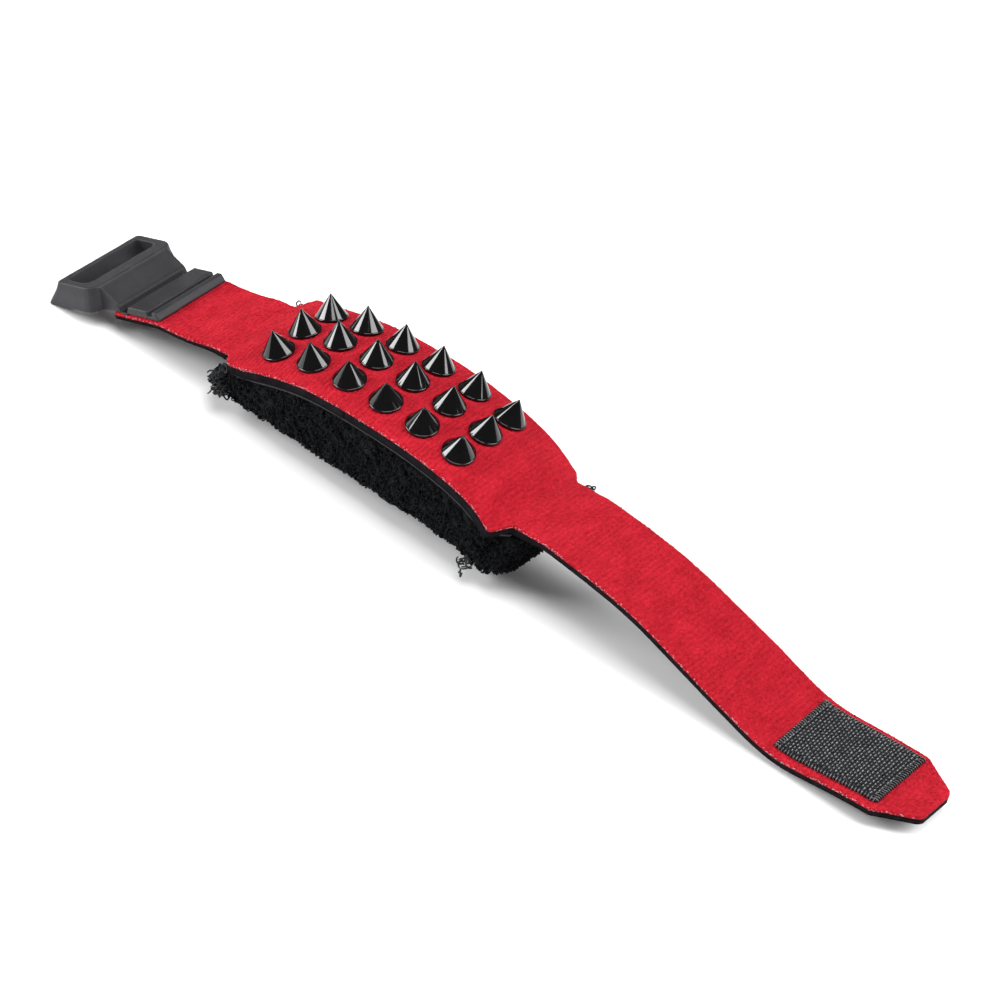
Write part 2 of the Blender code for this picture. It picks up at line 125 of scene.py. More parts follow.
# Fibres on the red face: how many for each millimetre of strap, and their radius
FUZZ_PER_MM = 40.5
FUZZ_RADIUS = 0.04
SPECKS_PER_MM = 4.5
SPECK_RADIUS = 0.07

# Studs
STUD_ROWS = (("front", -9.6), ("middle", 0.0), ("back", 9.6))
STUD_COLUMNS = 6
FIRST_STUD = -27.6
STUD_PITCH = 11.2
STUD_SIDES = 72
STUD_SINK = 0.05                   # how far the base sits in the fabric
LIP = (4.05, 0.50, 0.22)           # radius, height where its rounding starts, rounding
CONE_BASE = (3.78, 0.78)           # radius and height
CONE_TOP = (0.25, 5.90)
CONE_STEPS = 8
TIP_HEIGHT = 0.2                   # of the rounding on top of the cone

# Pile pad: ends, heights of its lowest line and lower long edges, and lean of its lower end, at stations
PAD = (-43.3, 53.0)
PAD_HALF_WIDTH = 16.4
PAD_EDGE_EASE = 0.8                # how much less half width its underside has
PAD_FLOOR = ((-44, 3.0), (-38, 1.5), (14, 1.5), (26, 1.0), (33, 0.3), (46, 0.3), (53, 0.8))
PAD_EDGES = ((-44, 5.6), (-38, 5.8), (-20, 6.2), (0, 7.0), (10, 7.8), (20, 8.6), (30, 9.3), (36, 9.0),
             (41, 8.2), (46, 6.8), (50, 5.2), (53, 5.4))
PAD_LEAN = ((-44, -2.0), (20, 0), (42, -4.5), (50, -5.0))
PAD_TOP = 3.3                      # depth of its top below the red face
PAD_INSET = 0.15                   # room left for the swelling
PAD_GRID = (49, 13)                # sections along it, and points across each
PAD_VOXEL = 1.4
PAD_SWELL = 0.7                    # the most that a point moves
PRESSURE = 4.0
CLOTH_FRAMES = 20
CLOTH_SCALE = 10.0                 # the cloth is simulated ten times larger
PAD_LUMPS = 0.32
PAD_CLEARANCE = 0.35               # to the strap's underside and to the floor

# Loops of the pile, and yarn ends that curl out of it: station, y, drop below the strap and count
LOOP_SPOTS = 14000
LOOP_RISE = (0.4, 1.0)
LOOP_WIDTH = (0.5, 1.1)
LOOP_RADIUS = 0.15
LOOP_FLOOR = 0.12
CURL_SPOTS = ((-43.8, -15.8, 5.2, 24), (-43.0, 15.8, 0.2, 9), (51.2, 15.4, 0.6, 12),
              (46.5, -15.3, 12.0, 8), (-43.0, -15.5, 1.0, 12))
CURL_SCATTER = (0.8, 0.8, 1.1)
CURL_RADIUS = 0.2
CURL_FLOOR = 0.15

# Buckle, in its own frame: a runs towards the strap, y across, h up from the ring's rim
BUCKLE_STATION = -71.8             # middle of its foot
FOOT_END = -64.8
FOOT = (30.1, -6.2)                # the foot's length, and its bottom below the ring's rim
BUCKLE_STRAY = -0.5
BUCKLE_VOXEL = 0.22
BUCKLE_WELD = 0.005
GROOVE = ((18.0, 18.4), (20.4, 20.8))                     # its two walls, along a
GROOVE_FLOOR = (-5.9, -5.6)        # only what lies above this goes down
GROOVE_DEEPENED = 0.6
GROOVE_PAINTED_SHADE = ((17.2, 1.0), (18.48, 0.22), (20.32, 0.22), (21.2, 1.0))     # painted shade in the first groove: brightness along a
SHADE_SPAN = 40.0                  # more than the whole moulding's length
RIB = (21.5, 25.8)                 # its stretch, along a, that grows longer
RIB_DRAWN_OUT = 1.2
SKIRT_HEIGHT = (1.0, 6.0)          # how far below the rim the flare sets in and is whole
SKIRT_BACK = (-1.0, 8.0)           # where the flare outwards fades, along a
SKIRT_END = (12.0, 15.0)           # where all flare fades, along a
SKIRT_HALF_WIDTH = 13.0
SKIRT_FLARE = (0.8, 0.5)           # outwards at the ring's end, and sideways

# Hook patch
PATCH = (126.4, 153.0)
PATCH_HALF_WIDTH = 10.3
PATCH_THICK = 0.6
PATCH_LIFT = 0.05                  # gap between the patch and the red face
PATCH_GRID = (134, 103, 9)         # sections along it, points across its top and across its underside
WEAVE_DEPTH = 0.07
HOOK_HEIGHT = 0.75
HOOK_PITCH = 1.2
HOOK_ROW_PITCH = 0.72 * HOOK_PITCH
HOOK_MARGINS = (1.3, 0.9, 1.1)     # at the patch's start, end and sides
HOOK_BEND = 0.28                   # radius of its bent end
HOOK_STEM = 0.4                    # share of its length that is straight
HOOK_RADIUS = 0.14
STITCH_PITCH = 0.8
STITCH_PATH = ((-1.35, 0.52), (-1.2, 0.72), (-0.8, 0.80), (-0.35, 0.80), (-0.05, 0.72), (0.16, 0.5),
               (0.26, 0.2), (0.3, -0.05))                 # distance out from the edge, and height
STITCH_RADIUS = 0.16

# Camera and stage, in metres and degrees
CAMERA_TARGET = (0.0023, 0.0, 0.0119)
CAMERA_DISTANCE = 0.7402
CAMERA_AZIMUTH = 30.58
CAMERA_ELEVATION = 39.66
CAMERA_ROLL = 12.1
LENS = 115.53
FLOOR_REACH = 3.0
WORLD_STRENGTH = 0.14
# Softboxes: azimuth, elevation, distance, size for each metre of distance, and radiance
SOFTBOXES = {"left_softbox": (-56.0, 21.0, 2.4, (0.50, 0.58), 16.0),
             "back_softbox": (118.0, 44.0, 2.0, (0.60, 0.70), 9.5),
             "top_softbox": (20.0, 84.0, 1.2, (0.55, 0.55), 7.5)}


def lookup(table, station):
    """Value at a station, from a table of (station, value)."""
    xs, values = zip(*table)
    return np.interp(station, xs, values)


def smoothstep(low, high, x):
    """Smooth rise from 0 at low to 1 at high."""
    t = np.clip((x - low) / (high - low), 0.0, 1.0)
    return t * t * (3.0 - 2.0 * t)


def unit(v):
    """Vectors scaled to length 1."""
    return v / np.maximum(np.linalg.norm(v, axis=-1, keepdims=True), 1e-12)


def integrate_course():
    """Stations and centre line of the red face, in millimetres, before it is tied to the frame."""
    stations = np.arange(STRAP_START - 10.0, STRAP_TIP + 10.0, COURSE_STEP)
    middle = (stations[1:] + stations[:-1]) / 2.0
    slope = np.radians(lookup(SLOPES, middle))
    x = np.concatenate([[0.0], np.cumsum(COURSE_STEP * np.cos(slope))])
    z = np.concatenate([[0.0], np.cumsum(COURSE_STEP * np.sin(slope))])
    return stations, np.stack([x, lookup(SWAYS, stations), z], -1)


STATIONS, COURSE = integrate_course()


def strap_frame(s):
    """Points, tangents, across and normal directions at an array of stations."""
    slope = np.radians(lookup(SLOPES, s))
    twist = np.radians(lookup(TWISTS, s))[..., None]
    zero = np.zeros_like(slope)
    tangent = np.stack([np.cos(slope), zero, np.sin(slope)], -1)
    up = np.stack([-np.sin(slope), zero, np.cos(slope)], -1)
    flat = np.array([0.0, 1.0, 0.0])
    across = flat * np.cos(twist) + up * np.sin(twist)
    normal = up * np.cos(twist) - flat * np.sin(twist)
    point = np.stack([np.interp(s, STATIONS, COURSE[:, i]) for i in range(3)], -1)
    return point, tangent, across, normal


def tie_to_frame():
    """Shift the course so that a point on a fold line is where the frame's joint is."""
    joints = {joint["name"]: np.array(joint["pos_m"]) / MM for joint in frame["joints"]}
    offsets = []
    for name, station in FOLDS.items():
        point, _, _, normal = strap_frame(np.array(station))
        offsets.append(joints[name] - (point - normal * MID_DEPTH))
    return np.mean(offsets, 0)


COURSE += tie_to_frame()


def half_width(s):
    """Half the strap's width at stations: shoulders, tapered tip and its rounded corners."""
    wide = smoothstep(*SHOULDERS[0], s) - smoothstep(*SHOULDERS[1], s)
    half = (STRAP_WIDTH + (CENTRE_WIDTH - STRAP_WIDTH) * wide) / 2.0
    taper = np.clip((s - TAPER_START) / (STRAP_TIP - TAPER_START), 0, 1)
    half -= (STRAP_WIDTH - TIP_WIDTH) / 2.0 * taper
    left = np.clip(TIP_ROUNDING - (STRAP_TIP - s), 0.0, TIP_ROUNDING)
    return half - TIP_ROUNDING + np.sqrt(TIP_ROUNDING ** 2 - left ** 2)


def crown_fade(s):
    """1 where the centre is crowned, 0 where the strap is flat across."""
    return smoothstep(*CROWN_FADES[0], s) - smoothstep(*CROWN_FADES[1], s)


def crown_drop(s, y):
    """How far the red face lies below the course, by its crown and by its creases."""
    crease = sum(depth * np.exp(-((s - at) / spread) ** 2) for at, depth, spread in CREASES)
    return CENTRE_CROWN * crown_fade(s) * 4.0 / CENTRE_WIDTH ** 2 * y * y + crease


def pressed(s, depth):
    """Depths below the face where the foam is pressed thinner, outside the centre."""
    kept = 1.0 - (1.0 - FOAM_KEPT[0]) * (1.0 - smoothstep(*FOAM_FADES[0], s))
    kept -= (1.0 - FOAM_KEPT[1]) * smoothstep(*FOAM_FADES[1], s)
    return np.minimum(depth, FACE[1]) + np.maximum(depth - FACE[1], 0.0) * kept


def on_strap(s, y, depth):
    """Points in metres at stations, y across and depths below the red face, in millimetres."""
    s, y, depth = np.broadcast_arrays(s, y, depth)
    point, _, across, normal = strap_frame(s)
    return (point + across * y[..., None] - normal * (crown_drop(s, y) + depth)[..., None]) * MM


def soft_noise(places, size, seed):
    """Smooth random field from -1 to 1 with features of the given size, for arrays of any shape."""
    draw = np.random.default_rng(seed)
    total = np.zeros(places.shape[:-1])
    for _ in range(12):
        wave = draw.normal(size=places.shape[-1]) * 2.2 / size
        total += np.sin(places @ wave + draw.uniform(0.0, 2.0 * math.pi))
    return total / math.sqrt(6.0) / 2.0


# Meshes

def mesh_object(name, points, faces, mat, places=None):
    """Smooth-shaded mesh object; places are the points' own station, y and depth for its material."""
    mesh = bpy.data.meshes.new(name)
    mesh.from_pydata(np.asarray(points).reshape(-1, 3).tolist(), [], faces)
    mesh.materials.append(mat)
    mesh.shade_smooth()
    if places is not None:
        attribute = mesh.attributes.new("place", "FLOAT_VECTOR", "POINT")
        attribute.data.foreach_set("vector", np.asarray(places, np.float32).ravel())
    obj = bpy.data.objects.new(name, mesh)
    bpy.context.scene.collection.objects.link(obj)
    return obj


def grid_faces(rows, columns):
    """Quads of a grid of points whose columns are joined end to end."""
    i, j = np.meshgrid(np.arange(rows - 1), np.arange(columns), indexing="ij")
    k = (j + 1) % columns
    quads = np.stack([i * columns + j, i * columns + k, (i + 1) * columns + k, (i + 1) * columns + j], -1)
    return quads.reshape(-1, 4).tolist()


def loft(name, loops, mat, places):
    """Closed body through equal loops of points."""
    rows, columns = loops.shape[:2]
    faces = grid_faces(rows, columns)
    faces.append(list(range(columns)))
    faces.append(list(range((rows - 1) * columns, rows * columns))[::-1])
    obj = mesh_object(name, loops, faces, mat, places)
    bm = bmesh.new()
    bm.from_mesh(obj.data)
    bmesh.ops.recalc_face_normals(bm, faces=bm.faces[:])
    bm.to_mesh(obj.data)
    bm.free()
    return obj


def tubes(name, paths, planes, radius, sides, mat, places=None):
    """Many closed tubes: paths (count, points, 3), and for each a direction across its plane."""
    count, length = paths.shape[:2]
    tangent = unit(np.gradient(paths, axis=1))
    side = unit(np.cross(tangent, np.broadcast_to(planes[:, None], paths.shape)))
    up = np.cross(side, tangent)
    angle = np.arange(sides) * 2.0 * math.pi / sides
    taper = np.ones(length)
    taper[[0, -1]] = 0.55
    ring = side[:, :, None] * np.cos(angle)[:, None] + up[:, :, None] * np.sin(angle)[:, None]
    points = paths[:, :, None] + ring * radius * taper[:, None, None]
    size = length * sides
    first = (np.arange(count) * size)[:, None]
    quads = (np.array(grid_faces(length, sides)) + first[:, None]).reshape(-1, 4).tolist()
    near = (np.arange(sides)[::-1] + first).tolist()
    far = (np.arange(size - sides, size) + first).tolist()
    if places is not None:
        places = np.repeat(places, size, axis=0)
    return mesh_object(name, points, quads + near + far, mat, places)


# Materials

def node(tree, kind, inputs=None, **settings):
    """New node; an input that is an output socket is linked, any other is set."""
    made = tree.nodes.new("ShaderNode" + kind)
    for key, value in settings.items():
        setattr(made, key, value)
    for key, value in (inputs or {}).items():
        if isinstance(value, bpy.types.NodeSocket):
            tree.links.new(value, made.inputs[key])
        else:
            made.inputs[key].default_value = value
    return made


def material(name, roughness, metallic=0.0, **sockets):
    """New material, its tree and its Principled shader; sockets are numbers the same all over."""
    mat = bpy.data.materials.new(name)
    mat.use_nodes = True
    shader = mat.node_tree.nodes["Principled BSDF"]
    shader.inputs["Roughness"].default_value = roughness
    shader.inputs["Metallic"].default_value = metallic
    for key, value in sockets.items():
        shader.inputs[key.replace("_", " ").title().replace("Ior", "IOR")].default_value = value
    return mat, mat.node_tree, shader


def place_of(tree, scale=(1.0, 1.0, 1.0)):
    """The strap's own coordinates, station, y and depth in millimetres, scaled."""
    place = node(tree, "Attribute", attribute_name="place", attribute_type="GEOMETRY")
    return node(tree, "Mapping", {"Vector": place.outputs["Vector"], "Scale": scale}).outputs["Vector"]


def object_mm(tree, scale=(1.0, 1.0, 1.0)):
    """Object coordinates in millimetres, scaled."""
    coords = node(tree, "TexCoord").outputs["Object"]
    return node(tree, "Mapping", {"Vector": coords, "Scale": [v / MM for v in scale]}).outputs["Vector"]


def noise(tree, where, scale, detail=2.0, roughness=0.5):
    settings = {"Vector": where, "Scale": scale, "Detail": detail, "Roughness": roughness}
    return node(tree, "TexNoise", settings).outputs["Fac"]


def wave(tree, where, direction_axis, scale, **settings):
    """Bands along one axis of a vector."""
    inputs = {"Vector": where, "Scale": scale}
    inputs.update({key.replace("_", " ").title(): value for key, value in settings.items()})
    return node(tree, "TexWave", inputs, bands_direction=direction_axis).outputs["Fac"]


def ramp(tree, factor, stops):
    made = node(tree, "ValToRGB", {"Fac": factor})
    elements = made.color_ramp.elements
    for index, (at, colour) in enumerate(stops):
        element = elements[index] if index < 2 else elements.new(at)
        element.position = at
        element.color = (*colour, 1.0)
    return made.outputs["Color"]


def multiply_colours(tree, a, b):
    made = node(tree, "Mix", {0: 1.0, 6: a, 7: b}, data_type="RGBA", blend_type="MULTIPLY")
    return made.outputs[2]


def maths(tree, operation, a, b):
    return node(tree, "Math", {0: a, 1: b}, operation=operation).outputs[0]


def bump(tree, shader, height, strength, distance):
    made = node(tree, "Bump", {"Height": height, "Strength": strength, "Distance": distance * MM})
    tree.links.new(made.outputs["Normal"], shader.inputs["Normal"])


def red_fabric():
    """Brushed loop fabric: mottled fuzz over fine cross ribs."""
    mat, tree, shader = material("red_loop_fabric", 0.92, sheen_weight=0.10, sheen_roughness=0.45,
                                 sheen_tint=(1.0, 0.2, 0.25, 1.0), specular_ior_level=0.04)
    where = place_of(tree)
    fuzz = noise(tree, where, 1.3, 5.0, 0.72)
    patches = noise(tree, place_of(tree, (1.0, 0.5, 1.0)), 0.22, 2.0)
    bent = noise(tree, where, 0.12, 1.0)
    warped = node(tree, "VectorMath", {0: where, 1: bent}, operation="ADD").outputs[0]
    ribs = wave(tree, warped, "X", 0.26, distortion=2.2, detail=2.0, detail_scale=2.5)
    tone = maths(tree, "MULTIPLY", fuzz, 0.95)
    tone = maths(tree, "ADD", tone, maths(tree, "MULTIPLY", patches, 0.35))
    tone = maths(tree, "ADD", tone, maths(tree, "MULTIPLY", ribs, 0.06))
    colour = ramp(tree, tone, ((0.42, (0.24, 0.003, 0.008)), (0.95, (0.63, 0.020, 0.038))))
    tree.links.new(colour, shader.inputs["Base Color"])
    grain = noise(tree, where, 4.5, 4.0, 0.7)
    height = maths(tree, "ADD", maths(tree, "MULTIPLY", ribs, 0.5), maths(tree, "ADD", fuzz, grain))
    bump(tree, shader, height, 1.0, 0.36)
    return mat


def plain_fibre(name, colour, roughness=0.8, sheen=0.2, darkest=0.45):
    """Thread or fibre whose colour varies down to the darkest share of it."""
    mat, tree, shader = material(name, roughness, sheen_weight=sheen, specular_ior_level=0.15)
    vary = noise(tree, object_mm(tree), 0.9, 3.0)
    deep = [c * darkest for c in colour]
    tree.links.new(ramp(tree, vary, ((0.3, deep), (0.72, colour))), shader.inputs["Base Color"])
    return mat


def foam_edge():
    """Cut edge of closed-cell foam: matte with fine cells."""
    mat, tree, shader = material("black_foam", 0.9, specular_ior_level=0.04)
    where = place_of(tree)
    cells = node(tree, "TexVoronoi", {"Vector": where, "Scale": 3.2}).outputs["Distance"]
    drift = noise(tree, where, 0.5, 3.0)
    colour = ramp(tree, drift, ((0.3, (0.004, 0.003, 0.004)), (0.75, (0.011, 0.009, 0.0115))))
    tree.links.new(colour, shader.inputs["Base Color"])
    bump(tree, shader, maths(tree, "ADD", cells, drift), 0.5, 0.15)
    return mat


def jersey():
    """Fine black knit: narrow wales with stitches along them."""
    mat, tree, shader = material("black_jersey", 0.9, sheen_weight=0.02, specular_ior_level=0.04)
    where = place_of(tree)
    wales = wave(tree, where, "Y", 0.6, distortion=0.6)
    loops = wave(tree, where, "X", 0.85, distortion=1.5)
    knit = maths(tree, "MULTIPLY", wales, loops)
    colour = ramp(tree, knit, ((0.0, (0.001, 0.001, 0.0015)), (0.8, (0.006, 0.006, 0.007))))
    tree.links.new(colour, shader.inputs["Base Color"])
    bump(tree, shader, knit, 0.6, 0.2)
    return mat


def terry():
    """Black terry pile: deep between its loops, with a dull sheen."""
    mat, tree, shader = material("black_terry", 0.9, sheen_weight=0.04, sheen_roughness=0.5,
                                 specular_ior_level=0.05)
    where = object_mm(tree)
    tufts = noise(tree, where, 0.8, 4.0, 0.65)
    colour = ramp(tree, tufts, ((0.3, (0.0015, 0.0016, 0.002)), (0.72, (0.0085, 0.0095, 0.0115))))
    tree.links.new(colour, shader.inputs["Base Color"])
    bump(tree, shader, noise(tree, where, 2.5, 3.0), 0.7, 0.3)
    return mat


def gloss_black():
    """High-gloss black coating with the faintest waviness."""
    mat, tree, shader = material("gloss_black_stud", 0.08, ior=1.5)
    where = object_mm(tree)
    shades = ((0.3, (0.001, 0.001, 0.0012)), (0.8, (0.0022, 0.0022, 0.0026)))
    colour = ramp(tree, noise(tree, where, 0.3), shades)
    tree.links.new(colour, shader.inputs["Base Color"])
    bump(tree, shader, noise(tree, where, 0.5, 1.0), 0.05, 0.05)
    return mat


def moulded_charcoal():
    """Satin moulded plastic with a fine spark-eroded grain, and painted shade darkening its first groove.
    """
    mat, tree, shader = material("charcoal_plastic", 0.5, specular_ior_level=0.25)
    where = object_mm(tree)
    cloud = noise(tree, where, 0.15, 3.0)
    colour = ramp(tree, cloud, ((0.3, (0.019, 0.019, 0.0215)), (0.75, (0.026, 0.026, 0.029))))
    # Painted shade: the colour is darkened along a across the first groove, where shade falls in it.
    along = node(tree, "SeparateXYZ", {"Vector": place_of(tree, (1.0 / SHADE_SPAN,) * 3)}).outputs["X"]
    groove = ramp(tree, along, [(a / SHADE_SPAN, (shade,) * 3) for a, shade in GROOVE_PAINTED_SHADE])
    tree.links.new(multiply_colours(tree, colour, groove), shader.inputs["Base Color"])
    wear = ramp(tree, noise(tree, where, 0.7, 4.0), ((0.3, (0.44,) * 3), (0.8, (0.60,) * 3)))
    tree.links.new(wear, shader.inputs["Roughness"])
    bump(tree, shader, noise(tree, where, 7.0, 2.0), 0.12, 0.05)
    return mat


def hook_base():
    """Black woven ground of the hook tape."""
    mat, tree, shader = material("black_hook_ground", 0.6, specular_ior_level=0.4)
    where = place_of(tree)
    weft = wave(tree, where, "X", 0.57)
    warp = wave(tree, where, "Y", 0.57)
    weave = maths(tree, "MAXIMUM", weft, warp)
    colour = ramp(tree, weave, ((0.2, (0.0015, 0.0015, 0.002)), (1.0, (0.006, 0.0065, 0.0075))))
    tree.links.new(colour, shader.inputs["Base Color"])
    bump(tree, shader, weave, 0.8, 0.3)
    return mat


def nylon(name, dark, light, roughness):
    """Glinting nylon monofilament."""
    mat, tree, shader = material(name, roughness, specular_ior_level=0.6)
    vary = noise(tree, object_mm(tree), 0.8, 2.0)
    tree.links.new(ramp(tree, vary, ((0.3, dark), (0.7, light))), shader.inputs["Base Color"])
    return mat


def brushed_steel():
    """Plain zinc-plated screw steel with turned marks."""
    mat, tree, shader = material("steel_screw", 0.35, 1.0)
    where = object_mm(tree)
    marks = noise(tree, where, 1.5, 4.0)
    colour = ramp(tree, marks, ((0.3, (0.42, 0.42, 0.43)), (0.8, (0.62, 0.62, 0.64))))
    tree.links.new(colour, shader.inputs["Base Color"])
    bump(tree, shader, marks, 0.2, 0.05)
    return mat


# Strap

def layer_loops(s, depths, inset, rounding, top_count):
    """Cross-section loops of one layer: stations, y and depths, its upper edges rounded."""
    half = half_width(s)[:, None] - inset
    thick = depths[1] - depths[0]
    turn = np.radians((75.0, 45.0, 15.0))
    top = np.linspace(-1.0, 1.0, top_count)
    bottom = np.linspace(1.0, -1.0, UNDER_COUNT)
    flat = half - rounding
    ease_y, ease_d = rounding * np.cos(turn), rounding * (1.0 - np.sin(turn))
    y = np.concatenate([flat * top, flat + ease_y, half * bottom, -(flat + ease_y)[:, ::-1]], 1)
    d = np.concatenate([np.zeros(top_count), ease_d, np.full(UNDER_COUNT, thick), ease_d[::-1]])
    d = np.broadcast_to(d, y.shape) + depths[0]
    stations = np.broadcast_to(s[:, None], y.shape)
    return stations, y, d


def fabric_relief(stations, y):
    """Height of the red face's ribs, brushed fuzz and soft dents; the tail has the clearest ribs."""
    where = np.stack([stations, y], -1)
    ribs = np.sin(stations * 2.0 * math.pi / RIB_PITCH + soft_noise(where, 5.0, 3) * 2.4)
    ribs *= (0.7 + 0.5 * soft_noise(where, 9.0, 4)) * (0.3 + 0.7 * smoothstep(40.0, 70.0, stations))
    fuzz = soft_noise(where, 0.9, 5) + 0.6 * soft_noise(where, 0.55, 6)
    dents = soft_noise(where, 14.0, 7) + 0.4 * soft_noise(where, 6.0, 8)
    return RELIEF[0] * ribs + RELIEF[1] * fuzz + RELIEF[2] * dents


def face_relief(stations, y, d):
    """The relief over the face's top, fading out down its edges."""
    return fabric_relief(stations, y) * np.clip(1.0 - (d - FACE[0]) / RELIEF_DEPTH, 0.0, 1.0)


def blended(piece, stretch):
    """Bake the piece's transform into its mesh; the ends of its stretch's blend zone are found but not
    used.
    """
    _, first, second, _, zone, _ = stretch
    start, end = on_strap(np.array(zone), 0.0, MID_DEPTH)
    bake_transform(piece)


def strap_layer(layer, stretch, mat):
    """One layer of one stretch of the strap, in place of the CAD's."""
    name, _, _, (low, high), _, segments = stretch
    depths, inset, rounding, top_count, step = LAYER_SHAPE[layer]
    s = np.linspace(low, high, round((high - low) / step) + 1)
    if high == STRAP_TIP:
        corner = high - TIP_ROUNDING * (1 - np.sin(np.radians(TIP_ANGLES)))
        s = np.unique(np.concatenate([s[:-3], corner]).round(6))
    stations, y, d = layer_loops(s, depths, inset, rounding, top_count)
    d = pressed(stations, d)
    lift = face_relief(stations, y, d) if layer == "face" else 0.0
    places = np.stack([stations, y, d], -1)
    body = loft(f"strap_{layer}_{name}", on_strap(stations, y, d - lift), mat, places.reshape(-1, 3))
    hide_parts(*(f"{segment}_{CAD_LAYER[layer]}" for segment in segments))
    blended(body, stretch)


def fuzz_fibres(stretch, mat):
    """Short curled fibres that stand on the red face."""
    name, _, _, (low, high), _, _ = stretch
    draw = np.random.default_rng(sum(map(ord, name)))
    count = round((high - low) * FUZZ_PER_MM)
    s = draw.uniform(low + 0.3, high - 0.6, count)
    y = draw.uniform(-1.0, 1.0, count) * (half_width(s) - 0.15)
    lie = draw.uniform(0.0, 2.0 * math.pi, count)
    length = draw.uniform(0.45, 1.1, count)
    height = draw.uniform(0.12, 0.38, count)
    t = np.linspace(-0.5, 0.5, 4)
    curl = draw.uniform(-0.5, 0.5, count)[:, None] * (t * t) * length[:, None] * 2.0
    along = t * length[:, None]
    ss = s[:, None] + along * np.cos(lie)[:, None] - curl * np.sin(lie)[:, None]
    yy = y[:, None] + along * np.sin(lie)[:, None] + curl * np.cos(lie)[:, None]
    limit = half_width(np.clip(ss, None, STRAP_TIP - 0.1)) - 0.05
    yy = np.clip(yy, -limit, limit)
    ss = np.clip(ss, low, high)
    rise = height[:, None] * (1.0 - (2.0 * t) ** 2) - 0.06
    paths = on_strap(ss, yy, -rise - fabric_relief(ss, yy))
    _, _, _, normal = strap_frame(s)
    planes = unit(np.cross(paths[:, -1] - paths[:, 0], normal))
    places = np.stack([s, y, np.zeros(count)], -1)
    fuzz = tubes(f"loop_fuzz_{name}", paths, planes, FUZZ_RADIUS * MM, 3, mat, places)
    blended(fuzz, stretch)


def edge_fibres(stretch, mat):
    """Pale cut ends that show as specks along both edges, where the face meets the foam."""
    name, _, _, (low, high), _, _ = stretch
    draw = np.random.default_rng(len(name))
    count = round((high - low) * SPECKS_PER_MM)
    s = draw.uniform(low + 0.3, high - 1.5, count)
    side = np.where(draw.random(count) < 0.5, -1.0, 1.0)
    t = np.linspace(0.0, 1.0, 4)
    length = draw.uniform(0.25, 0.6, count)[:, None]
    depth = draw.uniform(0.25, 0.75, count)[:, None]
    ss = s[:, None] + t * length * draw.uniform(-1.0, 1.0, count)[:, None]
    out = half_width(ss) - 0.08 + 0.22 * np.sin(t * math.pi)
    dd = depth + t * length * draw.uniform(-0.5, 0.5, count)[:, None]
    paths = on_strap(ss, side[:, None] * out, dd)
    planes = unit(np.cross(paths[:, -1] - paths[:, 0], strap_frame(s)[2]))
    places = np.stack([s, side, depth[:, 0]], -1)
    specks = tubes(f"edge_specks_{name}", paths, planes, SPECK_RADIUS * MM, 3, mat, places)
    blended(specks, stretch)


def make_strap():
    """The laminate's layers, fuzz and cut ends, stretch by stretch."""
    fabric = red_fabric()
    fuzz = plain_fibre("red_fuzz", (0.54, 0.012, 0.025), 0.9, 0.0, 0.7)
    specks = plain_fibre("pale_cut_ends", (0.60, 0.36, 0.38), 0.8, 0.2)
    foam = foam_edge()
    knit = jersey()
    for stretch in STRETCHES:
        strap_layer("face", stretch, fabric)
        strap_layer("foam", stretch, foam)
        strap_layer("lining", stretch, knit)
        fuzz_fibres(stretch, fuzz)
        edge_fibres(stretch, specks)


# Studs

def stud_places():
    """Name ending, station and y of each stud."""
    for row, y in STUD_ROWS:
        for column in range(STUD_COLUMNS):
            yield f"{row}_{column + 1}", FIRST_STUD + column * STUD_PITCH, y


def stud_profile():
    """Radius and height from the flat base up over the lip and the cone to the tip, in millimetres."""
    radius, lip_height, rounding = LIP
    base = [(0.0, -STUD_SINK), (radius - 0.15, -STUD_SINK), (radius - 0.03, STUD_SINK)]
    lip = [(radius - rounding * (1.0 - math.cos(a)), lip_height + rounding * math.sin(a))
           for a in np.radians((0, 30, 60, 85))]
    foot = [(CONE_BASE[0] + 0.04, CONE_BASE[1] - 0.06), CONE_BASE]
    fall = (CONE_TOP[0] - CONE_BASE[0]) / CONE_STEPS
    rise = (CONE_TOP[1] - CONE_BASE[1]) / CONE_STEPS
    cone = [(CONE_BASE[0] + fall * k, CONE_BASE[1] + rise * k) for k in range(1, CONE_STEPS + 1)]
    tip = [(CONE_TOP[0] * math.cos(a) + 0.02, CONE_TOP[1] + TIP_HEIGHT * math.sin(a))
           for a in np.radians((35, 60, 80))]
    return base + lip + foot + cone + tip + [(0.0, CONE_TOP[1] + TIP_HEIGHT + 0.02)]


def stud_frame(station, y):
    """Base point in metres and the stud's own axes."""
    _, tangent, across, normal = strap_frame(np.array(float(station)))
    slope = math.atan(CENTRE_CROWN * crown_fade(station) * 8.0 / CENTRE_WIDTH ** 2 * y)
    side = across * math.cos(slope) - normal * math.sin(slope)
    up = normal * math.cos(slope) + across * math.sin(slope)
    return on_strap(np.array(float(station)), y, 0.0), tangent, side, up


